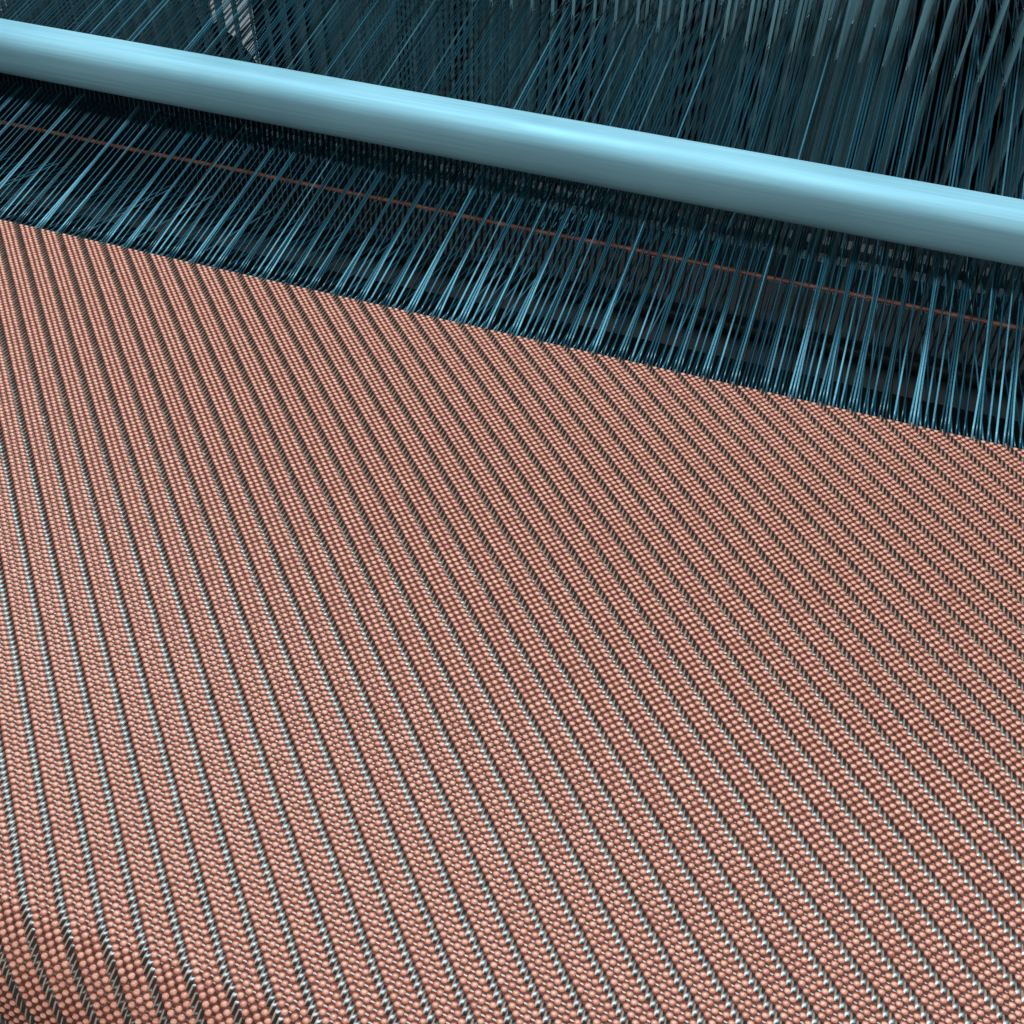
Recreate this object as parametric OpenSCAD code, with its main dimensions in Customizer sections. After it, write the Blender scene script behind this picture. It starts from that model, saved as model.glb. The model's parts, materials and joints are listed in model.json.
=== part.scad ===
/* [Warp and cloth] */
// Width of the warp and of the cloth
warp_w = 1200; // [960:40:1280]
// Distance between neighbouring healds on one shaft
heald_pitch = 20; // [16:1:24]
// Thickness of one warp end
end_t = 0.5; // [0.3:0.1:0.7]
// Height of the cloth above the floor
cloth_h = 950; // [940:5:980]
// Thickness of the cloth
cloth_t = 0.6; // [0.4:0.1:0.9]
// Width of one diagonal rib of the weave
rib_w = 5; // [3:0.5:7]
// Distance between neighbouring diagonal ribs
rib_pitch = 20; // [16:1:30]
// Height of a diagonal rib above the ground weave
rib_h = 0.3; // [0.2:0.1:0.5]
// From the floor pattern's centre forward to the last beaten pick
fell_back = 250; // [240:2:260]
// Flat cloth between the fell and the breast bar's axis
cloth_run = 231; // [225:1:235]

/* [Shafts] */
// Distance between neighbouring shafts
shaft_pitch = 14; // [13:0.5:14]
// From the fell back to the first shaft
first_shaft = 190; // [184:1:194]
// Half of the angle between the two sheets of the open shed
shed_angle = 11; // [9:0.5:11]
// Length of a heald between its rails
heald_len = 280; // [260:5:290]
// Width of a heald across its eye
heald_w = 1.7; // [1.5:0.1:1.9]
// Thickness of a heald plate
heald_t = 1; // [0.6:0.1:1.4]
// Width of the eye that the end runs through
eye_w = 0.9; // [0.8:0.05:1]
// Height of the eye that the end runs through
eye_l = 5; // [4:0.5:8]
// Width of a heald where it widens round its eye
eye_boss = 2.6; // [2.4:0.1:3]
// Thickness of a heald frame
rail_t = 9; // [7:0.5:9]
// Height of a heald frame's rail
rail_h = 45; // [36:1:50]
// Radius of the rods that lift a heald frame
rod_r = 4; // [3:0.5:4]

/* [Sley] */
// Height of the rocking shaft above the floor
rocker_h = 350; // [340:5:360]
// Radius of the rocking shaft
rocker_r = 25; // [20:1:30]
// Angle by which the sley leans back from beat-up at rest
sley_back = 7.2; // [6.8:0.1:7.4]
// Thickness of the reed
reed_t = 3; // [2:0.2:4]
// Thickness of one reed dent
dent_w = 0.6; // [0.4:0.1:0.9]
// Distance from dent to dent
dent_pitch = 10; // [10:1:14]
// Depth of the reed cap from front to back
cap_d = 22; // [18:1:24]
// Height of the reed cap
cap_h = 20; // [16:1:22]
// Height of the sley beam
sley_h = 70; // [60:2:80]
// Depth of the sley beam
sley_d = 75; // [66:1:78]

/* [Cloth rollers] */
// Radius of the breast bar
bar_r = 22; // [18:1:24]
// Radius of the take-up roller
takeup_r = 60; // [54:1:62]
// Radius of the press roller
press_r = 25; // [20:1:28]
// Radius of the wound cloth
cloth_roll_r = 110; // [90:5:115]
// Radius of the roller journals
journal_r = 20; // [14:1:22]

/* [Warp beam] */
// Height of the warp beam's axis
beam_h = 480; // [470:5:490]
// From the floor pattern's centre back to the warp beam's axis
beam_y = 340; // [335:1:345]
// Radius of the wound warp
yarn_r = 230; // [200:5:240]
// Radius of the beam's bare barrel
barrel_r = 75; // [60:1:90]
// Radius of the beam's end discs
disc_r = 270; // [255:1:272]
// Radius of the back rest roller
back_rest_r = 50; // [44:1:54]
// Thickness of a drop wire
drop_t = 1; // [0.4:0.1:1.2]
// Height of a drop wire
drop_h = 130; // [120:2:140]

/* [Frame] */
// Space between the cloth's edge and a side frame
side_room = 60; // [58:1:70]
// Thickness of a side frame
frame_t = 40; // [32:1:44]
// Depth of the side frame's cast pockets
pocket = 12; // [6:1:14]
// From the floor pattern's centre to a row of foot bolts
bolt_y = 520; // [515:1:525]
// Radius of a foot bolt's hole
bolt_r = 9; // [7:0.5:11]
// Thickness of a foot plate
foot_t = 20; // [15:1:28]
// Wall of the hollow cross beams
beam_wall = 8; // [5:0.5:12]
// Corner radius of the windows in a side frame
window_r = 25; // [10:1:35]

/* [Gears] */
// Teeth of the warp beam's gear
beam_teeth = 60; // [56:1:60]
// Teeth of the let-off pinion
letoff_teeth = 15; // [14:1:17]
// Tooth module of the let-off gears
letoff_mod = 6; // [5:0.5:6]
// Teeth of the take-up roller's gear
takeup_teeth = 48; // [44:1:48]
// Teeth of the take-up pinion
pinion_teeth = 16; // [14:1:18]
// Tooth module of the take-up gears
takeup_mod = 3; // [2.5:0.25:3]

/* [Drive] */
// Radius of the motor
motor_r = 72; // [60:1:74]
// Length of the motor
motor_l = 210; // [180:5:240]
// Radius of the motor's pulley
small_pulley_r = 45; // [38:1:50]
// Radius of the drive pulley
big_pulley_r = 130; // [110:5:135]
// Width of both pulleys
pulley_w = 46; // [36:1:50]
// Thickness of the belt
belt_t = 7; // [5:0.5:9]
// Radius of the handwheel
wheel_r = 112; // [95:1:120]

/* [Controls and weft] */
// Width of the control box
box_w = 150; // [130:5:180]
// Height of the control box
box_h = 210; // [180:5:240]
// Depth of the control box
box_d = 80; // [60:2:90]
// Radius of a push button
button_r = 12; // [10:0.5:14]
// Radius of the weft thread
weft_r = 0.5; // [0.3:0.1:0.6]
// Radius of the weft feeder's drum
feeder_r = 52; // [44:1:58]
// Large radius of the weft cone
cone_r = 82; // [70:1:90]
// Length of the weft cone
cone_l = 170; // [150:5:190]

/* [Hidden] */
$fn = 64;

// Clearances: a seat between fixed or soft pieces, a shaft in its bore, a slide in its guide
seat = 0.3;
run = 0.05;
slide = 0.3;
// How far two parts of one piece run into each other where they are joined
joint = 2;

shafts = 8;
raised = [1, 0, 1, 0, 1, 1, 1, 0];
end_pitch = heald_pitch / shafts;
per_shaft = floor(warp_w / heald_pitch);
web = per_shaft * heald_pitch;
half = web / 2;
dents = floor(web / dent_pitch);
dent_half = dents * dent_pitch / 2;

fell_y = -fell_back;
frame_x = half + side_room;
frame_out = frame_x + frame_t;
frame_mid = cloth_h - 90;
beam_low = 30;
front_beam = 80;
rear_beam = 90;
mid_beam = 50;
// How far a frame's bar reaches past the middle cross beam that it carries
bar_margin = 20;
window_low = 130;

bar_y = fell_y - cloth_run;
bar_z = cloth_h - cloth_t / 2 - seat - bar_r;
drop_y = bar_y - bar_r - seat - cloth_t / 2;
takeup_y = drop_y + cloth_t / 2 + seat + takeup_r;
takeup_z = bar_z - 138;
press_angle = 200;
press_reach = takeup_r + seat + cloth_t + seat + press_r;
press_y = takeup_y + press_reach * cos(press_angle);
press_z = takeup_z + press_reach * sin(press_angle);
roll_z = takeup_z - takeup_r - seat - cloth_t - seat - cloth_roll_r;

rocker_y = fell_y + 31;
sley_top = cloth_h - 30;
reed_y = fell_y + 0.5;
reed_foot = 15;
reed_low = sley_top - reed_foot;
cap_low = cloth_h + 22;
reed_top = cap_low + 13;
sley_half = half + 35;
sley_front = fell_y - 20;
sley_wall = 10;
sley_rib = 40;
sword_x = half - 40;
sword_t = 30;
sword_foot = 40;
hub_r = 45;

back_rest_y = beam_y + yarn_r - back_rest_r;
back_rest_z = cloth_h - end_t / 2 - seat - back_rest_r;
stop_y = 300;
stop_run = 120;
stop_r = 6;
stop_plate = 20;
rail_low = cloth_h + 18;
rail_high = rail_low + 22;
drop_w = 11;
drop_low = cloth_h - drop_h * 0.42;
// Healds of one shaft for each drop wire of one contact rail
drop_every = 2;
sheet_start = back_rest_y - 6;

guide_x = half + 19;
stay_x = half + 10;
tongue = 8.5;
stay_out = guide_x + tongue;
guide_low = cloth_h - 190;
guide_high = cloth_h + 190;
lift_x = 400;
case_y0 = fell_y + first_shaft - 15;
case_y1 = fell_y + first_shaft + (shafts - 1) * shaft_pitch + 17;
case_low = cloth_h - 520;
case_high = cloth_h - 350;
case_wall = 10;
case_half = lift_x + 60;

drive_y = rocker_y + 109;
gearbox_t = 90;
gearbox_r = 84;
cover_t = 12;
cover_edge = 7;
gearbox_out = frame_out + gearbox_t;
pulley_x = gearbox_out + 5;
drive_r = 15;
motor_y = drive_y + 130;
motor_z = rocker_h - 185;
motor_shaft_r = 14;
fan_cover = 36;
terminal_l = 90;
terminal_w = 30;

letoff_angle = 250;
letoff_reach = letoff_mod * (beam_teeth + letoff_teeth) / 2;
letoff_y = beam_y + letoff_reach * cos(letoff_angle);
letoff_z = beam_h + letoff_reach * sin(letoff_angle);
gear_w = 18;
gear_x = frame_x - 30;
pinion_reach = takeup_mod * (takeup_teeth + pinion_teeth) / 2;
pinion_y = takeup_y + pinion_reach;
pinion_r = 12;
beam_journal = 30;

pick_y = fell_y + 74.4;
pick_z = cloth_h - 2.6;
nozzle_x = -half - 36;
nozzle_bore = 1.6;
temple_y = fell_y - 38;
temple_d = 46;
temple_in = half - 70;
temple_roller_r = 9;
temple_pin_r = 3;
temple_z = cloth_h + cloth_t / 2 + rib_h + seat + temple_roller_r;

post_x = frame_out + 26;
post_y = -520;
box_x = frame_out + 12;
box_front = post_y - box_d + 20;
box_low = cloth_h + 20;
button_x = box_x + box_w / 2;
start_z = box_low + box_h * 0.42;
stop_z = box_low + box_h * 0.2;
button_travel = 4;
button_depth = 22;
door_t = 3;
door_edge = 5;

feeder_x = -frame_out - 150;
feeder_l = 100;
arm_end = feeder_x - feeder_l - 220;
arm_z = cloth_h - 230;
arm_t = 36;
post_t = 24;
post_w = 14;
winder_gap = 8;

function shaft_y(k) = fell_y + first_shaft + k * shaft_pitch;
function rise(k) = (first_shaft + k * shaft_pitch) * tan(shed_angle);
function eye_z(k) = cloth_h + (raised[k] == 1 ? rise(k) : -rise(k));
function end_x(k, j) = (j * shafts + k + 0.5) * end_pitch - half;
function polar(r, a) = [r * cos(a), r * sin(a)];

// A flat outline drawn in Y and Z, pulled along X
module along_x(x0, x1) {
    translate([x0, 0, 0]) rotate([90, 0, 90]) linear_extrude(x1 - x0) children();
}

module x_rod(x0, x1, r, y, z) {
    translate([x0, y, z]) rotate([0, 90, 0]) cylinder(r = r, h = x1 - x0);
}

module x_cone(x0, x1, ra, rb, y, z) {
    translate([x0, y, z]) rotate([0, 90, 0]) cylinder(r1 = ra, r2 = rb, h = x1 - x0);
}

module x_box(x0, x1, y0, y1, z0, z1) {
    translate([x0, y0, z0]) cube([x1 - x0, y1 - y0, z1 - z0]);
}

module both_sides() {
    children();
    mirror([1, 0, 0]) children();
}

// Spur gear outline with slim teeth, the first one along +X of the outline
module gear_outline(teeth, mod) {
    pitch_r = teeth * mod / 2;
    flank = [[-0.29, -1.15], [-0.1, 0.85], [0.1, 0.85], [0.29, -1.15]];
    polygon([for (i = [0:teeth - 1], p = flank) polar(pitch_r + p[1] * mod, (i + p[0]) * 360 / teeth)]);
}

module gear(teeth, mod, x0, w, y, z, turn) {
    translate([0, y, z]) rotate([turn, 0, 0]) along_x(x0, x0 + w) gear_outline(teeth, mod);
}

// A quarter ring in Y and Z between two angles 90 degrees apart
module quarter(y, z, r0, r1, a) {
    translate([y, z]) rotate(a) intersection() {
        difference() {
            circle(r1);
            circle(r0);
        }
        square(r1 + 1);
    }
}

// A rectangle in Y and Z with round corners
module rounded(y0, y1, z0, z1, r) {
    translate([y0 + r, z0]) square([y1 - y0 - 2 * r, z1 - z0]);
    translate([y0, z0 + r]) square([y1 - y0, z1 - z0 - 2 * r]);
    for (y = [y0 + r, y1 - r], z = [z0 + r, z1 - r])
        translate([y, z]) circle(r);
}

module frame_outline() {
    polygon([
        [-bolt_y - 70, 0], [-bolt_y + 70, 0], [-bolt_y + 95, 70], [bolt_y - 95, 70],
        [bolt_y - 70, 0], [bolt_y + 70, 0], [bolt_y + 70, 90], [bolt_y + 55, back_rest_z - 160],
        [back_rest_y + 55, back_rest_z + 35], [back_rest_y - 45, back_rest_z + 35],
        [back_rest_y - 90, back_rest_z - 110], [130, cloth_h - 150], [90, cloth_h + 60],
        [-100, cloth_h + 60], [-125, frame_mid], [fell_y - 130, frame_mid],
        [bar_y + 45, bar_z + 38], [bar_y - 45, bar_z + 38], [bar_y - 80, bar_z - 40],
        [bar_y - 85, roll_z - 120], [-bolt_y - 70, 90]
    ]);
}

module frame_windows() {
    rounded(-bolt_y + 15, rocker_y - 101, window_low, rocker_h + 80, window_r);
    rounded(-140, 125, rocker_h - 85, case_low - mid_beam - bar_margin, window_r);
    rounded(-120, 115, case_low + bar_margin, cloth_h - 250, window_r);
    rounded(beam_y + 50, bolt_y - 5, window_low, beam_h - 150, window_r);
}

module frame_pockets() {
    rounded(-60, 55, frame_mid - 60, cloth_h + 20, window_r);
    rounded(beam_y - 105, beam_y + 90, beam_h + 120, cloth_h - 200, window_r);
    rounded(rocker_y - 111, rocker_y + 39, rocker_h + 130, frame_mid - 40, window_r);
}

module side_frame() {
    difference() {
        union() {
            along_x(frame_x, frame_out) difference() {
                frame_outline();
                frame_windows();
            }
            for (y = [-bolt_y, bolt_y])
                x_box(frame_x, frame_out + 70, y - 60, y + 60, 0, foot_t);
            for (y = [-bolt_y, bolt_y], side = [-1, 1])
                translate([0, y + side * 48 + 6, 0]) rotate([90, 0, 0]) linear_extrude(12)
                    polygon([[frame_out, foot_t], [frame_out + 55, foot_t], [frame_out, foot_t + 70]]);
            x_rod(frame_out, frame_out + 14, beam_journal + 28, beam_y, beam_h);
            x_rod(frame_out, frame_out + 10, journal_r + 22, takeup_y, takeup_z);
            x_rod(frame_out, frame_out + 10, journal_r + 22, takeup_y, roll_z);
        }
        for (y = [-bolt_y, bolt_y])
            translate([frame_out + 35, y, -1]) cylinder(r = bolt_r, h = foot_t + 2);
        along_x(frame_out - pocket, frame_out + 1) frame_pockets();
        x_rod(frame_x - 1, frame_out + 20, beam_journal + run, beam_y, beam_h);
        x_rod(frame_x - 1, frame_out + 20, journal_r + run, takeup_y, takeup_z);
        x_rod(frame_x - 1, frame_out + 20, journal_r + run, takeup_y, roll_z);
        x_rod(frame_x - 1, frame_out + 20, 15 + run, back_rest_y, back_rest_z);
        x_rod(frame_x - 1, frame_out + 20, 10 + run, press_y, press_z);
        x_rod(frame_x - 1, frame_out + 20, rocker_r + run, rocker_y, rocker_h);
        x_rod(frame_x - 1, frame_out + 20, bar_r + run, bar_y, bar_z);
        children();
    }
}

module right_side_frame() {
    color("darkslategray") side_frame() {
        x_rod(frame_x - 1, frame_out + 1, pinion_r + run, pinion_y, takeup_z);
        x_rod(frame_x - 1, frame_out + 1, motor_shaft_r + 16, motor_y, motor_z);
    }
}

module left_side_frame() {
    color("darkslategray") mirror([1, 0, 0]) side_frame()
        x_rod(frame_x - 1, frame_out + 1, pinion_r + run, letoff_y, letoff_z);
}

module tube_beam(y0, y1, z0, z1) {
    difference() {
        x_box(-frame_x, frame_x, y0, y1, z0, z1);
        x_box(-frame_x - 1, frame_x + 1, y0 + beam_wall, y1 - beam_wall,
              z0 + beam_wall, z1 - beam_wall);
    }
}

module cross_beams() {
    color("darkslategray") {
        tube_beam(-bolt_y - beam_low, -bolt_y - beam_low + front_beam, beam_low, beam_low + front_beam);
        tube_beam(bolt_y + 20 - rear_beam, bolt_y + 20, beam_low, beam_low + rear_beam);
        tube_beam(case_y0, case_y1, case_low - mid_beam, case_low);
    }
}

module breast_bar() {
    color("silver") x_rod(-frame_out, frame_out, bar_r, bar_y, bar_z);
}

// The cloth: flat to the breast bar, over it, down, and round the take-up roller
module cloth_web() {
    top = cloth_h + cloth_t / 2;
    low = cloth_h - cloth_t / 2;
    color("indianred") {
        along_x(-half, half) {
            translate([bar_y, low]) square([cloth_run, cloth_t]);
            quarter(bar_y, bar_z, bar_r + seat, bar_r + seat + cloth_t, 90);
            translate([drop_y - cloth_t / 2, takeup_z]) square([cloth_t, bar_z - takeup_z]);
            quarter(takeup_y, takeup_z, takeup_r + seat, takeup_r + seat + cloth_t, 180);
        }
        translate([0, 0, top]) linear_extrude(rib_h) intersection() {
            translate([-half, bar_y]) square([web, cloth_run]);
            for (x = [-half + rib_pitch / 2 : rib_pitch : half + cloth_run])
                polygon([[x, fell_y], [x + rib_w, fell_y],
                         [x + rib_w - cloth_run, bar_y], [x - cloth_run, bar_y]]);
        }
    }
}

// Upright combs that guide the ends of the heald frames
module shaft_guides() {
    color("gray") both_sides() difference() {
        x_box(guide_x, frame_x, case_y0, case_y1, guide_low, guide_high);
        for (k = [0:shafts - 1])
            x_box(guide_x - 1, stay_out + slide, shaft_y(k) - rail_t / 2 - slide,
                  shaft_y(k) + rail_t / 2 + slide, guide_low - 1, guide_high + 1);
    }
}

// Closed case below the shafts; the lifting rods go through its lid
module shedding_case() {
    color("dimgray") difference() {
        x_box(-case_half, case_half, case_y0, case_y1, case_low, case_high);
        x_box(-case_half + case_wall, case_half - case_wall, case_y0 + 8, case_y1 - 8,
              case_low + case_wall, case_high - case_wall);
        for (k = [0:shafts - 1], side = [-1, 1])
            translate([side * lift_x, shaft_y(k), case_high - case_wall - 1])
                cylinder(r = rod_r + slide, h = case_wall + 2);
    }
}

// A case with two round ends, about the rocking shaft and the drive shaft
module gearbox_shape(x0, x1, r) {
    x_rod(x0, x1, r, rocker_y, rocker_h);
    x_rod(x0, x1, r, drive_y, rocker_h);
    x_box(x0, x1, rocker_y, drive_y, rocker_h - r, rocker_h + r);
}

module gearbox() {
    difference() {
        union() {
            gearbox_shape(frame_out, gearbox_out, gearbox_r);
            gearbox_shape(gearbox_out - 30, gearbox_out - 30 + cover_t, gearbox_r + cover_edge);
            gearbox_shape(frame_out, frame_out + cover_t, gearbox_r + cover_edge);
        }
        x_rod(frame_out - 1, gearbox_out - 10, rocker_r + run, rocker_y, rocker_h);
        children();
    }
}

module sley_gearboxes() {
    color("slategray") {
        gearbox() x_rod(gearbox_out - 25, gearbox_out + 1, drive_r + run, drive_y, rocker_h);
        mirror([1, 0, 0]) gearbox();
    }
}

// Holds the cloth's edge out to its full width just before the fell
module temples() {
    bed_top = cloth_h - cloth_t / 2 - seat;
    lid_low = cloth_h + cloth_t / 2 + rib_h + seat;
    lid_high = temple_z + temple_roller_r + 5;
    color("lightsteelblue") both_sides() difference() {
        union() {
            x_box(temple_in, frame_x, temple_y - temple_d / 2, temple_y + temple_d / 2, cloth_h - 24, bed_top);
            x_box(half + 5, frame_x, temple_y - temple_d / 2, temple_y + temple_d / 2, bed_top, lid_high);
            x_box(temple_in, half + 5, temple_y - 16, temple_y + 16, lid_low, lid_high);
            x_box(frame_x - 14, frame_x, temple_y - temple_d / 2, temple_y + temple_d / 2,
                  cloth_h - 130, cloth_h - 24);
        }
        x_rod(temple_in + 5, half + 5 + 1, temple_roller_r + 1, temple_y, temple_z);
        x_rod(temple_in - 1, half + 30, temple_pin_r + run, temple_y, temple_z);
    }
}

module temple_rollers() {
    color("goldenrod") both_sides() {
        x_rod(temple_in + 6, half + 5, temple_roller_r, temple_y, temple_z);
        x_rod(temple_in, half + 29, temple_pin_r, temple_y, temple_z);
    }
}

// Fixed tube that blows the weft into the shed, on its bracket
module jet_nozzle() {
    color("silver") difference() {
        union() {
            x_cone(nozzle_x - 34, nozzle_x, 9, 3.5, pick_y, pick_z);
            x_rod(-frame_out - 5, nozzle_x - 34, 9, pick_y, pick_z);
            x_box(-frame_out + 4, -frame_x - 6, pick_y - 14, pick_y + 14, frame_mid, pick_z);
        }
        x_rod(-frame_out - 6, nozzle_x + 1, nozzle_bore, pick_y, pick_z);
    }
}

// Winds weft on its drum ahead of the nozzle; carried on an arm with the cone's pin
module weft_feeder() {
    color("slategray") difference() {
        union() {
            x_rod(feeder_x - feeder_l, feeder_x - 26, feeder_r, pick_y, pick_z);
            x_rod(feeder_x - 26 + winder_gap, feeder_x + 40, feeder_r - 8, pick_y, pick_z);
            x_box(arm_end, -frame_out, pick_y - arm_t / 2, pick_y + arm_t / 2, arm_z, arm_z + arm_t);
            x_box(feeder_x - feeder_l + 20, feeder_x - 40, pick_y - post_w, pick_y + post_w,
                  arm_z + arm_t, pick_z);
            x_box(arm_end, arm_end + post_t, pick_y - post_w, pick_y + post_w, arm_z + arm_t, pick_z + post_w);
            x_rod(arm_end, arm_end + cone_l + 40, 9, pick_y, pick_z);
            x_rod(feeder_x - 30, feeder_x - 10, 10, pick_y, pick_z);
        }
        x_rod(feeder_x - feeder_l - 1, feeder_x + 41, 3, pick_y, pick_z);
    }
}

module feeder_disc() {
    color("gainsboro") difference() {
        union() {
            x_rod(feeder_x - 25, feeder_x - 19, feeder_r + 6, pick_y, pick_z);
            x_box(feeder_x - 25, feeder_x + 2, pick_y - 5, pick_y + 5,
                  pick_z + feeder_r - 5, pick_z + feeder_r + 4);
        }
        x_rod(feeder_x - 31, feeder_x - 9, 10 + run, pick_y, pick_z);
    }
}

module weft_cone() {
    cone_x = arm_end + 30;
    cone_taper = 36;
    color("orangered") difference() {
        union() {
            x_cone(cone_x, cone_x + cone_l, cone_r, cone_r - cone_taper, pick_y, pick_z);
            x_rod(cone_x + cone_l, cone_x + cone_l + 8, 22, pick_y, pick_z);
        }
        x_rod(cone_x - 1, cone_x + cone_l + 9, 9 + seat, pick_y, pick_z);
    }
}

module main_motor() {
    color("slategray") difference() {
        union() {
            x_rod(frame_x - motor_l, frame_x - 12, motor_r - 6, motor_y, motor_z);
            x_rod(frame_x - 12, frame_x, motor_r, motor_y, motor_z);
            x_cone(frame_x - motor_l - fan_cover, frame_x - motor_l - fan_cover + 12, motor_r - 14, motor_r - 2,
                   motor_y, motor_z);
            x_rod(frame_x - motor_l - fan_cover + 12, frame_x - motor_l + 14, motor_r - 2, motor_y, motor_z);
            for (a = [0:15:345])
                translate([0, motor_y, motor_z]) rotate([a, 0, 0])
                    x_box(frame_x - motor_l + 20, frame_x - 20, motor_r - 8, motor_r, -2, 2);
            x_box(frame_x - motor_l + 50, frame_x - motor_l + 50 + terminal_l, motor_y - terminal_w,
                  motor_y + terminal_w, motor_z + motor_r - 8, motor_z + motor_r + 34);
        }
        x_rod(frame_x - 40, frame_x + 1, motor_shaft_r + run, motor_y, motor_z);
    }
}

// Pulley rim with its grooves, between two x values
module pulley_body(r, y, z) {
    difference() {
        x_rod(pulley_x, pulley_x + pulley_w, r + belt_t + 3, y, z);
        difference() {
            x_rod(pulley_x + 6, pulley_x + pulley_w - 6, r + belt_t + 4, y, z);
            x_rod(pulley_x + 5, pulley_x + pulley_w - 5, r, y, z);
        }
    }
}

module motor_pulley() {
    color("dimgray") {
        pulley_body(small_pulley_r, motor_y, motor_z);
        x_rod(frame_x - 39, pulley_x + 1, motor_shaft_r, motor_y, motor_z);
    }
}

module drive_pulley() {
    hub_x = pulley_x + pulley_w;
    color("dimgray") {
        difference() {
            pulley_body(big_pulley_r, drive_y, rocker_h);
            for (a = [0:60:300])
                translate([0, drive_y, rocker_h]) rotate([a, 0, 0])
                    x_rod(pulley_x - 1, hub_x + 1, 26, big_pulley_r * 0.58, 0);
        }
        x_rod(gearbox_out - 24, hub_x + 44, drive_r, drive_y, rocker_h);
        difference() {
            x_rod(hub_x + 20, hub_x + 40, wheel_r, drive_y, rocker_h);
            x_rod(hub_x + 19, hub_x + 41, wheel_r - 16, drive_y, rocker_h);
        }
        for (a = [0:120:240])
            translate([0, drive_y, rocker_h]) rotate([a, 0, 0])
                x_box(hub_x + 24, hub_x + 34, 0, wheel_r - 12, -8, 8);
    }
}

// Filled outline of a belt run round two circles
module belt_outline(ra, rb) {
    dy = motor_y - drive_y;
    dz = motor_z - rocker_h;
    reach = sqrt(dy * dy + dz * dz);
    turn = atan2(dz, dy);
    lean = acos((ra - rb) / reach);
    translate([drive_y, rocker_h]) rotate(turn) {
        circle(ra);
        translate([reach, 0]) circle(rb);
        polygon([polar(ra, lean), polar(ra, -lean), [reach, 0] + polar(rb, -lean), [reach, 0] + polar(rb, lean)]);
    }
}

module drive_belt() {
    color("black") along_x(pulley_x + 8, pulley_x + pulley_w - 8) difference() {
        belt_outline(big_pulley_r + seat + belt_t, small_pulley_r + seat + belt_t);
        belt_outline(big_pulley_r + seat, small_pulley_r + seat);
    }
}

module let_off_case() {
    color("slategray") difference() {
        x_box(-frame_out - 100, -frame_out, letoff_y - 65, letoff_y + 65, letoff_z - 60, letoff_z + 60);
        x_rod(-frame_out - 40, -frame_out + 1, pinion_r + run, letoff_y, letoff_z);
    }
}

module let_off_pinion() {
    color("silver") {
        gear(letoff_teeth, letoff_mod, -gear_x - gear_w, gear_w, letoff_y, letoff_z,
             letoff_angle + 180 + 180 / letoff_teeth);
        x_rod(-frame_out - 39, -gear_x - 1, pinion_r, letoff_y, letoff_z);
    }
}

module warp_beam() {
    color("silver") {
        x_rod(-half - 12, half + 12, barrel_r, beam_y, beam_h);
        both_sides() difference() {
            x_rod(half + seat, half + seat + 8, disc_r, beam_y, beam_h);
            for (a = [22.5:45:360])
                translate([0, beam_y, beam_h]) rotate([a, 0, 0])
                    x_rod(half - 1, half + 20, 26, (yarn_r + barrel_r) / 2, 0);
        }
        x_rod(-frame_out - 10, frame_out + 10, beam_journal, beam_y, beam_h);
        difference() {
            gear(beam_teeth, letoff_mod, -gear_x - gear_w, gear_w, beam_y, beam_h, letoff_angle);
            for (a = [0:60:300])
                translate([0, beam_y, beam_h]) rotate([a, 0, 0])
                    x_rod(-gear_x - gear_w - 1, -gear_x + 1, 38, beam_teeth * letoff_mod * 0.31, 0);
        }
    }
}

module beam_yarn() {
    color("teal") difference() {
        x_rod(-half, half, yarn_r, beam_y, beam_h);
        x_rod(-half - 1, half + 1, barrel_r + seat, beam_y, beam_h);
    }
}

module back_rest() {
    color("silver") {
        x_rod(-half - 20, half + 20, back_rest_r, back_rest_y, back_rest_z);
        x_rod(-frame_out, frame_out, 15, back_rest_y, back_rest_z);
    }
}

// The warp between the back rest and the beam: one sheet with gaps between its bands
module warp_back_sheet() {
    r0 = back_rest_r + seat;
    gap = heald_pitch * 0.12;
    color("teal") difference() {
        along_x(-half, half) {
            translate([sheet_start, cloth_h - end_t / 2]) square([back_rest_y - sheet_start, end_t]);
            quarter(back_rest_y, back_rest_z, r0, r0 + end_t, 0);
            translate([back_rest_y + r0, beam_h]) square([end_t, back_rest_z - beam_h]);
        }
        for (j = [1:per_shaft - 1])
            x_box(j * heald_pitch - half - gap / 2, j * heald_pitch - half + gap / 2,
                  back_rest_y, back_rest_y + r0 + 20, beam_h + 20, cloth_h + 5);
    }
}

// A contact rail above the warp with its drop wires, each one in the gap between two ends
module contact_rail(y, i) {
    x_box(-frame_x + 10, frame_x - 10, y - 2, y + 2, rail_low, rail_high);
    for (j = [0:per_shaft / drop_every - 1]) {
        x = (j * drop_every + 0.5) * heald_pitch + 2 * i * end_pitch - half;
        x_box(x - drop_t / 2, x + drop_t / 2, y - drop_w / 2, y + drop_w / 2, drop_low, drop_low + drop_h);
    }
}

// Bars above and below the warp that hold it flat, with contact rails between them
module stop_motion() {
    gap = end_t / 2 + seat + stop_r;
    color("gray") {
        for (y = [stop_y, stop_y + stop_run], side = [-1, 1])
            x_rod(-frame_x + 10, frame_x - 10, stop_r, y, cloth_h + side * gap);
        for (i = [1:4])
            contact_rail(stop_y + i * stop_run / 5, i);
        both_sides() x_box(frame_x - stop_plate, frame_x, stop_y - stop_plate, stop_y + stop_run + stop_plate,
                           cloth_h - 250, rail_high + 10);
    }
}

module take_up_roller() {
    color("dimgray") {
        x_rod(-half - 8, half + 8, takeup_r, takeup_y, takeup_z);
        x_rod(-frame_out, frame_out, journal_r, takeup_y, takeup_z);
        gear(takeup_teeth, takeup_mod, gear_x, gear_w, takeup_y, takeup_z, 0);
    }
}

module take_up_pinion() {
    color("silver") {
        gear(pinion_teeth, takeup_mod, gear_x, gear_w, pinion_y, takeup_z, 180 + 180 / pinion_teeth);
        x_rod(gear_x + 1, frame_out + 39, pinion_r, pinion_y, takeup_z);
    }
}

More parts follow.
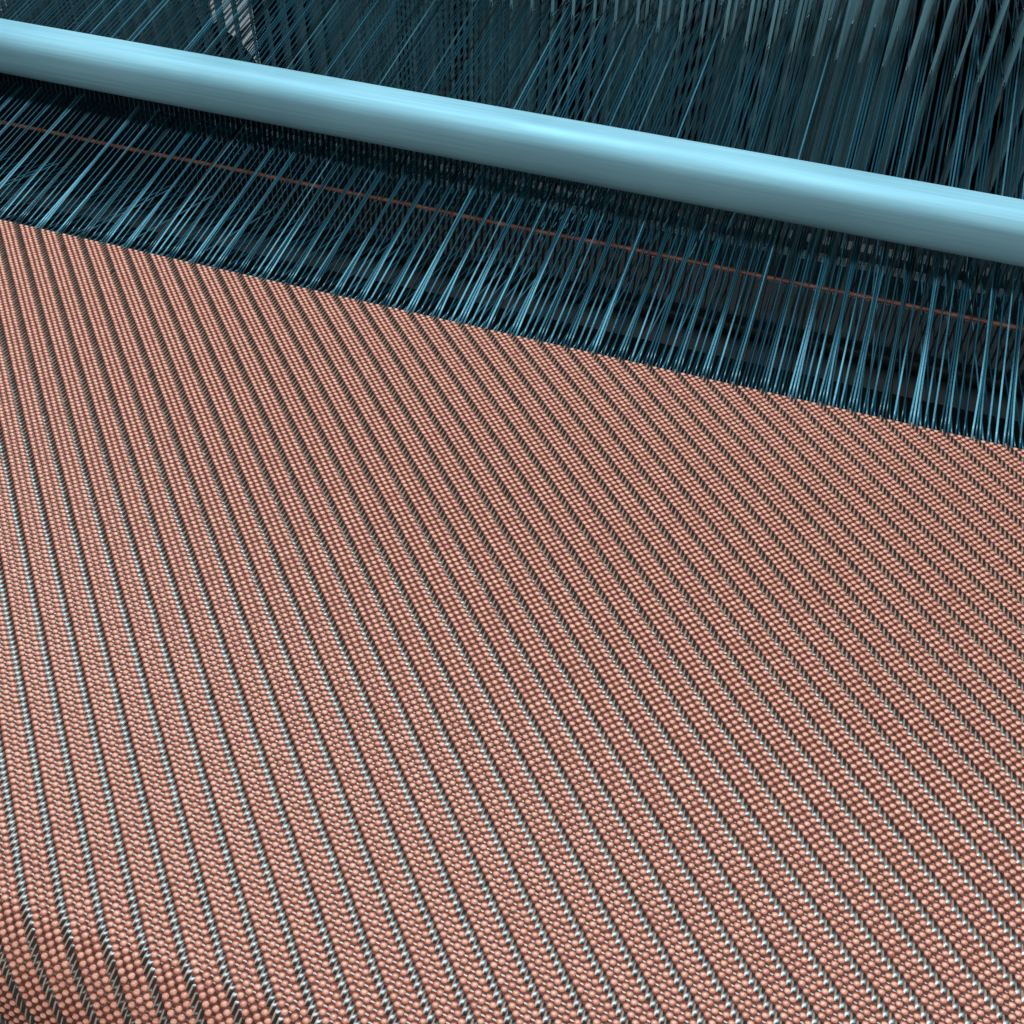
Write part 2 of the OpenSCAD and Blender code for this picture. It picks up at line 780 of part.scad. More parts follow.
module take_up_case() {
    color("slategray") difference() {
        x_box(frame_out, frame_out + 80, pinion_y - 50, pinion_y + 50, takeup_z - 55, takeup_z + 55);
        x_rod(frame_out - 1, frame_out + 40, pinion_r + run, pinion_y, takeup_z);
    }
}

module press_roller() {
    color("dimgray") {
        x_rod(-half - 8, half + 8, press_r, press_y, press_z);
        x_rod(-frame_out, frame_out, 10, press_y, press_z);
    }
}

module cloth_roll() {
    color("indianred") {
        x_rod(-half, half, cloth_roll_r, takeup_y, roll_z);
        x_rod(-frame_out, frame_out, journal_r, takeup_y, roll_z);
    }
}

module control_box() {
    color("gainsboro") difference() {
        union() {
            x_box(box_x, box_x + box_w, box_front, box_front + box_d, box_low, box_low + box_h);
            x_box(box_x + door_edge, box_x + box_w - door_edge, box_front - door_t, box_front + 1,
                  box_low + door_edge, box_low + box_h - door_edge);
            translate([post_x, post_y, cloth_h - 110]) cylinder(r = 14, h = box_low - cloth_h + 112);
            x_box(frame_out, frame_out + 44, post_y - 20, post_y + 20, cloth_h - 130, cloth_h - 90);
        }
        for (z = [start_z, stop_z])
            translate([button_x, box_front + button_depth, z]) rotate([90, 0, 0])
                cylinder(r = button_r + slide, h = button_depth + door_t + 1);
    }
}

module button(z) {
    translate([button_x, box_front + button_depth - button_travel - 2, z]) rotate([90, 0, 0])
        cylinder(r = button_r, h = button_depth + door_t);
}

module start_button() {
    color("green") button(start_z);
}

module stop_button() {
    color("red") {
        button(stop_z);
        translate([button_x, box_front - door_t - button_travel - 1, stop_z]) rotate([90, 0, 0])
            cylinder(r1 = button_r + 6, r2 = button_r + 3, h = 8);
    }
}

// The sley is drawn at beat-up, upright, and leans back about the rocking shaft
module sley_lean() {
    translate([0, rocker_y, rocker_h]) rotate([-sley_back, 0, 0]) translate([0, -rocker_y, -rocker_h])
        children();
}

module sley_beam() {
    low = sley_top - sley_h;
    color("steelblue") sley_lean() {
        difference() {
            x_box(-sley_half, sley_half, sley_front, sley_front + sley_d, low, sley_top);
            x_box(-sley_half - 1, sley_half + 1, reed_y - run, reed_y + reed_t + run, reed_low, sley_top + 1);
            x_box(-sley_half - 1, sley_half + 1, sley_front + sley_rib, sley_front + sley_d - sley_wall,
                  low - 1, sley_top - sley_wall);
        }
        for (x = [-sword_x, 0, sword_x]) {
            along_x(x - sword_t / 2, x + sword_t / 2) polygon([
                [rocker_y - sword_foot, rocker_h], [sley_front, low + 1], [sley_front + sley_d, low + 1],
                [rocker_y + sword_foot, rocker_h]]);
            x_rod(x - sword_t, x + sword_t, hub_r, rocker_y, rocker_h);
        }
        x_rod(-gearbox_out + 11, gearbox_out - 11, rocker_r, rocker_y, rocker_h);
    }
}

// Reed and its cap: dents between two baulks, the upper one in a rounded metal cap
module reed() {
    reed_half = dent_half + 12;
    cap_y = reed_y + reed_t / 2;
    corner = 7;
    color("lightsteelblue") sley_lean() {
        translate([0, reed_y + reed_t, 0]) rotate([90, 0, 0]) linear_extrude(reed_t) difference() {
            translate([-reed_half, reed_low]) square([2 * reed_half, reed_top - reed_low]);
            for (j = [0:dents - 1])
                translate([j * dent_pitch - dent_half + dent_w / 2, sley_top + 3])
                    square([dent_pitch - dent_w, cap_low - sley_top - 5]);
        }
        along_x(-reed_half - 6, reed_half + 6) difference() {
            rounded(cap_y - cap_d / 2, cap_y + cap_d / 2, cap_low, cap_low + cap_h, corner);
            translate([cap_y - reed_t / 2 - run, cap_low - 1])
                square([reed_t + 2 * run, reed_top - cap_low + 1 + run]);
        }
    }
}

module open_pick() {
    color("orangered") x_rod(nozzle_x - 10, half + 8, weft_r, pick_y, pick_z);
}

module heald_frame(k) {
    y0 = shaft_y(k) - rail_t / 2;
    y1 = shaft_y(k) + rail_t / 2;
    low = eye_z(k) - heald_len / 2;
    high = eye_z(k) + heald_len / 2;
    rod_low = case_low + case_wall + 8 + (raised[k] == 1 ? 2 * rise(k) : 0);
    color("silver") {
        x_box(-stay_out, stay_out, y0, y1, low - rail_h, low);
        x_box(-stay_out, stay_out, y0, y1, high, high + rail_h);
        both_sides() x_box(stay_x, stay_out, y0, y1, low - joint, high + joint);
        both_sides() translate([lift_x, shaft_y(k), rod_low])
            cylinder(r = rod_r, h = low - rail_h - rod_low + joint);
    }
}

// Heald wires as one plate with gaps between them, each wire widened round its eye
module healds(k) {
    bar = 6;
    mid = heald_len / 2;
    side = [[heald_w, bar], [heald_w, mid - eye_l], [eye_boss, mid - eye_l / 2 - 1],
            [eye_boss, mid + eye_l / 2 + 1], [heald_w, mid + eye_l], [heald_w, heald_len - bar]];
    color("gainsboro") translate([0, shaft_y(k) + heald_t / 2, eye_z(k) - mid]) rotate([90, 0, 0])
        linear_extrude(heald_t) difference() {
            translate([end_x(k, 0) - eye_boss / 2, 0])
                square([(per_shaft - 1) * heald_pitch + eye_boss, heald_len]);
            for (j = [-1:per_shaft - 1])
                polygon(concat([for (p = side) [end_x(k, j) + p[0] / 2, p[1]]],
                               [for (i = [5:-1:0]) [end_x(k, j + 1) - side[i][0] / 2, side[i][1]]]));
            for (j = [0:per_shaft - 1])
                translate([end_x(k, j) - eye_w / 2, mid - eye_l / 2]) square([eye_w, eye_l]);
        }
}

// Warp ends of one shaft: fell, heald eye, flat between the stop motion's bars, back rest
module warp_ends(k) {
    h = end_t / 2;
    path = [[fell_y, cloth_h], [shaft_y(k), eye_z(k)], [stop_y - 1, cloth_h], [sheet_start, cloth_h]];
    color("teal") for (j = [0:per_shaft - 1])
        along_x(end_x(k, j) - h, end_x(k, j) + h)
            polygon(concat([for (p = path) p + [0, h]], [for (i = [3:-1:0]) path[i] - [0, h]]));
}

left_side_frame();
right_side_frame();
cross_beams();
breast_bar();
cloth_web();
shaft_guides();
shedding_case();
sley_gearboxes();
temples();
temple_rollers();
jet_nozzle();
weft_feeder();
feeder_disc();
weft_cone();
main_motor();
motor_pulley();
drive_belt();
drive_pulley();
let_off_case();
let_off_pinion();
warp_beam();
beam_yarn();
back_rest();
warp_back_sheet();
stop_motion();
take_up_roller();
take_up_pinion();
take_up_case();
press_roller();
cloth_roll();
control_box();
start_button();
stop_button();
sley_beam();
reed();
open_pick();
for (k = [0:shafts - 1]) {
    heald_frame(k);
    healds(k);
    warp_ends(k);
}
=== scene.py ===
import json
import math

import bpy
import numpy as np
from mathutils import Matrix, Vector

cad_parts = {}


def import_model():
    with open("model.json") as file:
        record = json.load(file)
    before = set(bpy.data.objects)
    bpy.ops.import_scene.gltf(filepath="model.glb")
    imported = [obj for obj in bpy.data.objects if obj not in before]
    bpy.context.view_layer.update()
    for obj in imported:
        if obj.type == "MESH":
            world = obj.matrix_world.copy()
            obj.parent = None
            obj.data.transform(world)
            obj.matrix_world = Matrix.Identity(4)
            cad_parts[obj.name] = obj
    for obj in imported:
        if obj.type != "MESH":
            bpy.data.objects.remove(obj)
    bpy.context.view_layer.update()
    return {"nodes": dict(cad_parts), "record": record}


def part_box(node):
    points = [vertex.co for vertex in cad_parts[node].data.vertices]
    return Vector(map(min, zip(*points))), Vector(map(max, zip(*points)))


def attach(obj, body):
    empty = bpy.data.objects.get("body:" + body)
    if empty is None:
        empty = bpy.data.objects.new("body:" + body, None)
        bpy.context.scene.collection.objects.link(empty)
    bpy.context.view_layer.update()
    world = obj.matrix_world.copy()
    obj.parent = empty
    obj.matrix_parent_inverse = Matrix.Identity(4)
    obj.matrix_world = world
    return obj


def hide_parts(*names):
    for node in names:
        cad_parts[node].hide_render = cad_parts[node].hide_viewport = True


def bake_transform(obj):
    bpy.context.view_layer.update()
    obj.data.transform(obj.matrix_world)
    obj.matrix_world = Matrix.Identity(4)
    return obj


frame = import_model()
nodeObjects = frame["nodes"]
rng = np.random.default_rng(7)
print("stage: frame loaded,", len(nodeObjects), "nodes")


# Sizes that the frame gives, in metres

def cornersOf(node):
    # the low and the high corner of one node's box
    low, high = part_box(node)
    return np.array(low), np.array(high)


def middleOf(node):
    # the middle of one node's box, in Y and Z
    low, high = cornersOf(node)
    return (low[1:] + high[1:]) / 2


clothHigh = cornersOf("cloth_web")[1]
pickLow, pickHigh = cornersOf("open_pick")
barLow, barHigh = cornersOf("breast_bar")
rollLow, rollHigh = cornersOf("cloth_roll")
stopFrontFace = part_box("stop_motion")[0][1]
joints = {j["name"]: j for j in frame["record"]["behaviour"]["joints"]}

half = clothHigh[0]
fellY = clothHigh[1]
barRadius = (barHigh[2] - barLow[2]) / 2
barCentre = middleOf("breast_bar")
takeAxis = np.array(joints["take_up_turn"]["pos_m"][1:])
rockerAxis = np.array(joints["sley_swing"]["pos_m"][1:])
shaftCount = 8

weave = {
    "ends": 960,
    "pickPitch": 0.00128,
    "clothThickness": 0.0006,
    "seat": 0.0003,
    "weftUpPhases": (0, 2, 4),
    "singlePhases": (1, 3),
    "floatPhase": 6,
    "repeat": 8,
    "shift": 1,
}
endPitch = 2 * half / weave["ends"]
pickPitch = weave["pickPitch"]
clothMid = barCentre[1] + barRadius + weave["seat"] + weave["clothThickness"] / 2


# Helpers for colours, nodes and meshes

def hexColour(text):
    # sRGB hex to the linear values that shaders take
    parts = [int(text[n:n + 2], 16) / 255 for n in (0, 2, 4)]
    return tuple(p / 12.92 if p <= 0.04045 else ((p + 0.055) / 1.055) ** 2.4 for p in parts) + (1.0,)


def addNode(tree, kind, values=None, **settings):
    # values: socket name or number to a number, colour or another node's output
    made = tree.nodes.new(kind)
    for key, value in settings.items():
        setattr(made, key, value)
    for key, value in (values or {}).items():
        if isinstance(value, bpy.types.NodeSocket):
            tree.links.new(value, made.inputs[key])
        else:
            made.inputs[key].default_value = value
    return made


def newMaterial(name):
    made = bpy.data.materials.new(name)
    made.use_nodes = True
    tree = made.node_tree
    tree.nodes.clear()
    shader = addNode(tree, "ShaderNodeBsdfPrincipled")
    output = addNode(tree, "ShaderNodeOutputMaterial")
    tree.links.new(shader.outputs[0], output.inputs[0])
    return made, tree, shader


def rampOf(tree, factor, stops):
    # a colour ramp with its stops given as (place, colour)
    ramp = addNode(tree, "ShaderNodeValToRGB", {0: factor})
    items = ramp.color_ramp.elements
    while len(items) < len(stops):
        items.new(0.5)
    for item, (place, colour) in zip(items, stops):
        item.position = place
        item.color = colour
    return ramp.outputs[0]


def joinFaces(*groups):
    # faces with different corner counts, as one list
    return [face for group in groups for face in (group if isinstance(group, list) else group.tolist())]


def meshPiece(name, points, faces, material, smooth=True, uv=None, value=None):
    # points: n x 3, faces: corner numbers; uv and value are given for each point
    mesh = bpy.data.meshes.new(name)
    mesh.from_pydata(np.asarray(points, float).tolist(), [], joinFaces(faces))
    if uv is not None:
        layer = mesh.uv_layers.new(name="threadUv")
        corners = np.zeros(len(mesh.loops), np.int32)
        mesh.loops.foreach_get("vertex_index", corners)
        layer.data.foreach_set("uv", np.asarray(uv, np.float32)[corners].ravel())
    if value is not None:
        layer = mesh.attributes.new("shade", "FLOAT", "POINT")
        layer.data.foreach_set("value", np.asarray(value, np.float32))
    mesh.polygons.foreach_set("use_smooth", [smooth] * len(mesh.polygons))
    mesh.materials.append(material)
    mesh.validate()
    mesh.update()
    made = bpy.data.objects.new(name, mesh)
    bpy.context.scene.collection.objects.link(made)
    return made


def gridFaces(rows, columns, closeColumns=False, flip=False):
    # quads of a rows x columns grid of points, numbered row by row
    c = np.arange(columns if closeColumns else columns - 1)
    r, c = (a.ravel() for a in np.meshgrid(np.arange(rows - 1), c, indexing="ij"))
    r2, c2 = r + 1, (c + 1) % columns
    quads = np.stack([r * columns + c, r * columns + c2, r2 * columns + c2, r2 * columns + c], 1)
    return quads[:, ::-1] if flip else quads


def closedEnds(rings, sides, flip=False):
    # a flat face over each end of a tube whose rings have this many points
    first = np.arange(sides)
    caps = np.stack([first[::-1], first + (rings - 1) * sides])
    return caps[:, ::-1] if flip else caps


def copies(faces, count, pointsEach):
    # the faces of one shape, repeated for count shapes that each have pointsEach points
    return (faces[None] + (np.arange(count) * pointsEach)[:, None, None]).reshape(-1, faces.shape[1])


def thinBoxes(x, thickness, y0, y1, z0, z1):
    # the corners of upright boxes that stand at the places x, eight for each
    w = thickness / 2
    corners = ((-w, y0), (w, y0), (w, y1), (-w, y1))
    box = np.array([[dx, y, z] for z in (z0, z1) for dx, y in corners])
    return (box[None] + np.array([1, 0, 0]) * x[:, None, None]).reshape(-1, 3)


def thinBoxFaces(count):
    return copies(np.concatenate([gridFaces(2, 4, closeColumns=True), closedEnds(2, 4)]), count, 8)


def profileAlongX(profile, x0, x1, bevel):
    # a closed outline in Y and Z carried along X, with chamfered closed ends
    profile = np.asarray(profile, float)
    centre = profile.mean(0)
    size = np.abs(profile - centre).max()
    xs = [x0, x0 + bevel, x1 - bevel, x1]
    shrink = [1 - bevel / size, 1.0, 1.0, 1 - bevel / size]
    rings = [np.column_stack([np.full(len(profile), x), centre + (profile - centre) * s])
             for x, s in zip(xs, shrink)]
    count = len(profile)
    return np.concatenate(rings), joinFaces(gridFaces(4, count, closeColumns=True), closedEnds(4, count))


def tubeAlong(path, radii, sides):
    # a round tube through the points of path, one radius at each. The tilted direction only has to differ
    # from every direction that the path takes
    path = np.asarray(path, float)
    along = np.gradient(path, axis=0)
    along /= np.linalg.norm(along, axis=1)[:, None]
    tilted = [0.0, 0.31, 0.95]
    first = np.cross(along, np.tile(tilted, (len(path), 1)))
    first /= np.linalg.norm(first, axis=1)[:, None]
    second = np.cross(along, first)
    turn = np.linspace(0, 2 * np.pi, sides, endpoint=False)
    ring = np.cos(turn)[None, :, None] * first[:, None] + np.sin(turn)[None, :, None] * second[:, None]
    points = path[:, None] + ring * np.asarray(radii, float)[:, None, None]
    faces = joinFaces(gridFaces(len(path), sides, closeColumns=True), closedEnds(len(path), sides))
    return points.reshape(-1, 3), faces


# The camera stands where a plane fitted to the photo's weave puts it

view = {
    "focalPixels": 1040.66,
    "yaw": 17.489,
    "pitch": 46.315,
    "roll": 1.855,
    "aboveCloth": 0.2264,
    "beforeFell": 0.2895,
    "x": 0.090,
    "pixels": 1024,
    "sensorWidth": 36.0,
}


def photoCamera():
    # right, ahead and down are the picture's own directions, turned by yaw, then pitch, then roll
    yaw, pitch, roll = (math.radians(view[a]) for a in ("yaw", "pitch", "roll"))
    right = np.array([math.cos(yaw), math.sin(yaw), 0.0])
    ahead = np.array([-math.sin(yaw) * math.cos(pitch), math.cos(yaw) * math.cos(pitch), -math.sin(pitch)])
    down = np.cross(ahead, right)
    rolledRight = math.cos(roll) * right - math.sin(roll) * down
    rolledDown = math.sin(roll) * right + math.cos(roll) * down
    place = np.array([view["x"], fellY - view["beforeFell"], clothMid + view["aboveCloth"]])
    matrix = Matrix.Identity(4)
    for column, axis in enumerate((rolledRight, -rolledDown, -ahead, place)):
        for row in range(3):
            matrix[row][column] = float(axis[row])
    data = bpy.data.cameras.new("photoCamera")
    data.sensor_width = view["sensorWidth"]
    data.sensor_fit = "HORIZONTAL"
    data.lens = view["focalPixels"] / view["pixels"] * view["sensorWidth"]
    data.clip_start = 0.01
    data.clip_end = 50.0
    camera = bpy.data.objects.new("photoCamera", data)
    camera.matrix_world = matrix
    bpy.context.scene.collection.objects.link(camera)
    bpy.context.scene.camera = camera
    return place, rolledRight, rolledDown, ahead


eye, eyeRight, eyeDown, eyeAhead = photoCamera()


def inPhoto(points, margin):
    # true for the points that fall inside the photo's frame, with a margin in pixels
    seen = points - eye
    depth = seen @ eyeAhead
    depthSafe = np.maximum(depth, 1e-4)
    across = view["pixels"] / 2 + view["focalPixels"] * (seen @ eyeRight) / depthSafe
    downward = view["pixels"] / 2 + view["focalPixels"] * (seen @ eyeDown) / depthSafe
    low, high = -margin, view["pixels"] + margin
    return (depth > 0) & (across > low) & (across < high) & (downward > low) & (downward < high)


print("stage: camera")


# Materials, each named for its real finish. Grain is counted to the metre, and bump depths are in metres

def objectPlace(tree):
    return addNode(tree, "ShaderNodeTexCoord").outputs["Object"]


def noiseOf(tree, place, scale, detail, **more):
    values = {"Vector": place, "Scale": scale, "Detail": detail, **more}
    return addNode(tree, "ShaderNodeTexNoise", values).outputs["Fac"]


def calc(tree, operation, a, b=0.0):
    return addNode(tree, "ShaderNodeMath", {0: a, 1: b}, operation=operation).outputs[0]


def spread(tree, value, fromLow, fromHigh, toLow, toHigh):
    # one range of values stretched to another
    values = {"Value": value, "From Min": fromLow, "From Max": fromHigh, "To Min": toLow, "To Max": toHigh}
    return addNode(tree, "ShaderNodeMapRange", values).outputs[0]


def relief(tree, shader, height, strength, distance):
    values = {"Height": height, "Strength": strength, "Distance": distance}
    bump = addNode(tree, "ShaderNodeBump", values)
    tree.links.new(bump.outputs[0], shader.inputs["Normal"])


def filamentYarn(name, colours, roughness, tint, specular=0.5, grainStrength=0.25, grainShade=0.2,
                 twist=None):
    # polyester filament yarn: smooth bundles with a soft streak of light along each. Where twist is given,
    # in degrees, fine filaments lie at that angle to the thread and spread the light across it
    made, tree, shader = newMaterial(name)
    # the shade attribute holds each thread's random tone together with painted shade and painted
    # highlights
    shade = addNode(tree, "ShaderNodeAttribute", attribute_name="shade")
    grain = noiseOf(tree, objectPlace(tree), 2600.0, 2.0)
    evened = spread(tree, grain, 0.25, 0.75, 0.5 - grainShade, 0.5 + grainShade)
    mixed = calc(tree, "MULTIPLY", shade.outputs["Fac"], evened)
    tree.links.new(rampOf(tree, mixed, colours), shader.inputs["Base Color"])
    shader.inputs["Roughness"].default_value = roughness
    shader.inputs["Specular IOR Level"].default_value = specular
    shader.inputs["Specular Tint"].default_value = tint
    if twist is not None:
        along = addNode(tree, "ShaderNodeTangent", direction_type="UV_MAP", uv_map="threadUv")
        tree.links.new(along.outputs[0], shader.inputs["Tangent"])
        shader.inputs["Anisotropic"].default_value = 1.0
        shader.inputs["Anisotropic Rotation"].default_value = twist / 360 % 1
    relief(tree, shader, grain, grainStrength, 0.0001)
    return made


def brushedMetal(name, colour, dark, roughness, grainAxis=0, grainScale=900.0, metallic=1.0):
    # ground steel or aluminium: fine lines along one axis, with faint handling marks
    made, tree, shader = newMaterial(name)
    place = objectPlace(tree)
    stretch = [grainScale] * 3
    stretch[grainAxis] = grainScale * 0.02
    mapping = addNode(tree, "ShaderNodeMapping", {"Vector": place, "Scale": stretch})
    lines = noiseOf(tree, mapping.outputs[0], 1.0, 3.0)
    marks = noiseOf(tree, place, 14.0, 5.0)
    both = calc(tree, "MULTIPLY", lines, marks)
    tint = rampOf(tree, both, [(0.08, hexColour(dark)), (0.36, hexColour(colour))])
    tree.links.new(tint, shader.inputs["Base Color"])
    rough = spread(tree, marks, 0.3, 0.7, roughness * 0.8, roughness * 1.25)
    tree.links.new(rough, shader.inputs["Roughness"])
    shader.inputs["Metallic"].default_value = metallic
    relief(tree, shader, lines, 0.12, 0.0002)
    return made


def paintedMetal(name, colour, wornColour, roughness, grainScale, bumpDepth, rubbed="9AA3A5"):
    # enamel over cast or rolled metal: orange-peel relief, dust in patches, paint rubbed thin on edges
    made, tree, shader = newMaterial(name)
    place = objectPlace(tree)
    skin = noiseOf(tree, place, grainScale, 2.0)
    patches = noiseOf(tree, place, 5.0, 6.0, Roughness=0.62)
    edges = addNode(tree, "ShaderNodeNewGeometry")
    rub = spread(tree, edges.outputs["Pointiness"], 0.53, 0.6, 0.0, 0.6)
    base = rampOf(tree, patches, [(0.3, hexColour(colour)), (0.75, hexColour(wornColour))])
    mixed = addNode(tree, "ShaderNodeMix", {0: rub, 6: base, 7: hexColour(rubbed)}, data_type="RGBA")
    tree.links.new(mixed.outputs[2], shader.inputs["Base Color"])
    rough = spread(tree, patches, 0.25, 0.75, roughness * 0.85, roughness * 1.3)
    tree.links.new(rough, shader.inputs["Roughness"])
    relief(tree, shader, skin, 0.35, bumpDepth)
    return made


def plainFinish(name, colour, darker, roughness, grainScale, bumpDepth, metallic=0.0):
    # moulded plastic, rubber or turned brass: an even colour with a fine grain
    made, tree, shader = newMaterial(name)
    grain = noiseOf(tree, objectPlace(tree), grainScale, 4.0)
    tint = rampOf(tree, grain, [(0.35, hexColour(darker)), (0.65, hexColour(colour))])
    tree.links.new(tint, shader.inputs["Base Color"])
    shader.inputs["Roughness"].default_value = roughness
    shader.inputs["Metallic"].default_value = metallic
    relief(tree, shader, grain, 0.4, bumpDepth)
    return made


def woundYarn(name, colours, pitch, roughness, tint):
    # yarn wound side by side: grooves across X at the thread's own spacing
    made, tree, shader = newMaterial(name)
    place = objectPlace(tree)
    split = addNode(tree, "ShaderNodeSeparateXYZ", {0: place})
    turns = calc(tree, "MULTIPLY", split.outputs["X"], 1 / pitch)
    swing = calc(tree, "PINGPONG", turns, 1.0)
    cell = calc(tree, "FLOOR", turns)
    vary = addNode(tree, "ShaderNodeTexWhiteNoise", {"W": cell}, noise_dimensions="1D")
    drift = noiseOf(tree, place, 9.0, 4.0)
    both = calc(tree, "MULTIPLY", vary.outputs["Value"], drift)
    tree.links.new(rampOf(tree, both, colours), shader.inputs["Base Color"])
    shader.inputs["Roughness"].default_value = roughness
    shader.inputs["Specular Tint"].default_value = tint
    relief(tree, shader, swing, 0.6, pitch * 0.3)
    return made


coolTint = (0.45, 0.88, 1.0, 1.0)
paleTint = (0.75, 0.97, 1.0, 1.0)
warmTint = (1.0, 0.95, 0.92, 1.0)
creamTint = (1.0, 0.95, 0.85, 1.0)
blackStops = [(0.05, hexColour("010608")), (0.55, hexColour("08303C"))]
# the top stop is the pale blue of the painted sheen on the ends near the fell
endStops = [(0.05, hexColour("010608")), (0.5, hexColour("0A3644")), (1.0, hexColour("5E98AA"))]
# floats from dark to pale; the pale top stop is the painted highlight along each float's left rim
floatStops = [(0.05, hexColour("0A0706")), (0.44, hexColour("1C1615")), (0.54, hexColour("94745F"))]
# the singles' black yarn is given a dark brown: painted shade of the holes between the beads, tinted by
# light bounced off the orange weft
sunkStops = [(0.05, hexColour("1E0D08")), (0.5, hexColour("4A2820"))]
# weft colours from dark to pale; on the beads the dark low stops are painted shade at their sunk rims
orangeStops = [(0.05, hexColour("4A1A10")), (0.15, hexColour("8A4634")), (0.29, hexColour("C2856C")),
               (0.45, hexColour("DDAB96"))]

materials = {
    "warpYarn": filamentYarn("blackFilamentWarp", endStops, 0.32, coolTint, 0.6, grainShade=0.1),
    "wovenWarp": filamentYarn("beatenBlackWarp", floatStops, 0.33, paleTint, 1.0, grainStrength=0.05,
                              grainShade=0.05, twist=7),
    "sunkWarp": filamentYarn("sunkBlackWarp", sunkStops, 0.36, creamTint, 1.0, grainStrength=0.05,
                             twist=-7),
    "weftYarn": filamentYarn("orangeFilamentWeft", orangeStops, 0.42, warmTint, 0.7, grainShade=0.07),
    "reedCap": brushedMetal("satinSteelReedCap", "8EC0CC", "76ABB9", 0.75, metallic=0.35),
    "reedBaulk": plainFinish("pitchBoundReedBaulk", "0B1012", "050708", 0.6, 1200.0, 0.0002),
    "reedDent": brushedMetal("oiledSteelDents", "4A6670", "2A424B", 0.4, grainAxis=2),
    "healdSteel": brushedMetal("brightSteelHealds", "A8D8E2", "5C98A6", 0.4, grainAxis=2, metallic=0.6),
    "brightSteel": brushedMetal("groundSteelBars", "C4CBCE", "8E989C", 0.38),
    "anodised": brushedMetal("anodisedAluminiumFrames", "AAB2B5", "8B9498", 0.6, metallic=0.8),
    "castPaint": paintedMetal("enamelledCasting", "41575B", "52686B", 0.42, 420.0, 0.0006),
    "steelPaint": paintedMetal("enamelledSteelTube", "465458", "56666A", 0.38, 700.0, 0.0003),
    "housingPaint": paintedMetal("enamelledHousing", "6E7E82", "7F8E90", 0.36, 600.0, 0.0003),
    "sleyPaint": paintedMetal("enamelledSley", "080D0F", "0E1518", 0.6, 600.0, 0.0003, rubbed="12191C"),
    "boxPaint": paintedMetal("powderCoatedBox", "C3C7C4", "B3B8B5", 0.48, 1400.0, 0.0002),
    "rubberGrip": plainFinish("gritCoveredRoller", "2A2C2C", "1A1B1B", 0.85, 1500.0, 0.0008),
    "beltRubber": plainFinish("beltRubber", "1C1C1D", "111112", 0.7, 900.0, 0.0003),
    "brass": plainFinish("turnedBrass", "C9A45A", "A98545", 0.3, 300.0, 0.0001, metallic=1.0),
    "greenButton": plainFinish("mouldedGreenPlastic", "1E8A46", "1A7B3E", 0.3, 800.0, 0.0001),
    "redButton": plainFinish("mouldedRedPlastic", "B3201B", "A01C18", 0.3, 800.0, 0.0001),
    "beamYarn": woundYarn("woundWarpYarn", blackStops, endPitch, 0.3, coolTint),
    "coneYarn": woundYarn("woundWeftYarn", orangeStops, 0.0012, 0.45, warmTint),
}


# the twill's colours from its low to its high parts: the darker low ends are painted shade between the
# threads
twillOrange = [(0.0, hexColour("985640")), (0.5, hexColour("CC8F76")), (1.0, hexColour("E6B49C"))]
twillBlack = [(0.0, hexColour("2A1A15")), (1.0, hexColour("4C3A33"))]


def wovenCloth(name, rollAxis=None, rollRadius=1.0):
    # the same twill as the modelled threads, worked out from the place across and along the cloth. That is
    # its UV map, or on a roll Object X and the arc round the roll's axis, given as Y and Z
    made, tree, shader = newMaterial(name)

    def do(operation, a, b=0.0):
        return calc(tree, operation, a, b)

    if rollAxis is None:
        threads = addNode(tree, "ShaderNodeUVMap", uv_map="threadUv")
        split = addNode(tree, "ShaderNodeSeparateXYZ", {0: threads.outputs[0]})
        along = split.outputs["Y"]
    else:
        split = addNode(tree, "ShaderNodeSeparateXYZ", {0: objectPlace(tree)})
        turned = do("ARCTAN2", do("SUBTRACT", split.outputs["Z"], float(rollAxis[1])),
                    do("SUBTRACT", split.outputs["Y"], float(rollAxis[0])))
        along = do("MULTIPLY", turned, float(rollRadius))
    endNumber = do("DIVIDE", split.outputs["X"], endPitch)
    pickNumber = do("DIVIDE", along, pickPitch)
    apart = do("SUBTRACT", do("FLOOR", endNumber), do("FLOOR", pickNumber))
    phase = do("FLOORED_MODULO", do("ADD", apart, float(weave["shift"])), float(weave["repeat"]))
    even = do("LESS_THAN", do("FLOORED_MODULO", phase, 2.0), 0.5)
    weftUp = do("MULTIPLY", even, do("LESS_THAN", phase, max(weave["weftUpPhases"]) + 0.5))
    acrossEnd = do("SINE", do("MULTIPLY", do("FRACT", endNumber), math.pi))
    acrossPick = do("SINE", do("MULTIPLY", do("FRACT", pickNumber), math.pi))
    weftHeight = do("MULTIPLY", do("POWER", acrossEnd, 0.5), acrossPick)
    warpHeight = do("MULTIPLY", acrossEnd, 0.75)
    height = addNode(tree, "ShaderNodeMix", {0: weftUp, 2: warpHeight, 3: weftHeight}).outputs[0]
    # the colour follows the height, darker at the threads' edges: painted shade between them
    orange = rampOf(tree, height, twillOrange)
    black = rampOf(tree, height, twillBlack)
    colour = addNode(tree, "ShaderNodeMix", {0: weftUp, 6: black, 7: orange}, data_type="RGBA")
    tree.links.new(colour.outputs[2], shader.inputs["Base Color"])
    shader.inputs["Roughness"].default_value = 0.36
    relief(tree, shader, height, 0.9, 0.0003)
    return made


materials["twill"] = wovenCloth("wovenTwill")
rollRadius = (rollHigh[1] - rollLow[1]) / 2
materials["rolledTwill"] = wovenCloth("rolledTwill", middleOf("cloth_roll"), rollRadius)
# painted shade: the dark red-brown seen in the shadowed gaps between the modelled threads
materials["betweenThreads"] = plainFinish("shadeBetweenThreads", "6C3121", "40170D", 0.8, 2000.0, 0.0001)
print("stage: materials")


# Woven cloth: a base sheet with threads standing on it where the photo looks

flatRun = fellY - barCentre[0]
barTurn = barRadius + weave["seat"] + weave["clothThickness"] / 2
dropRun = barCentre[1] - takeAxis[1]
takeTurn = abs(barCentre[0] - barTurn - takeAxis[0])
clothLength = flatRun + barTurn * math.pi / 2 + dropRun + takeTurn * math.pi / 2


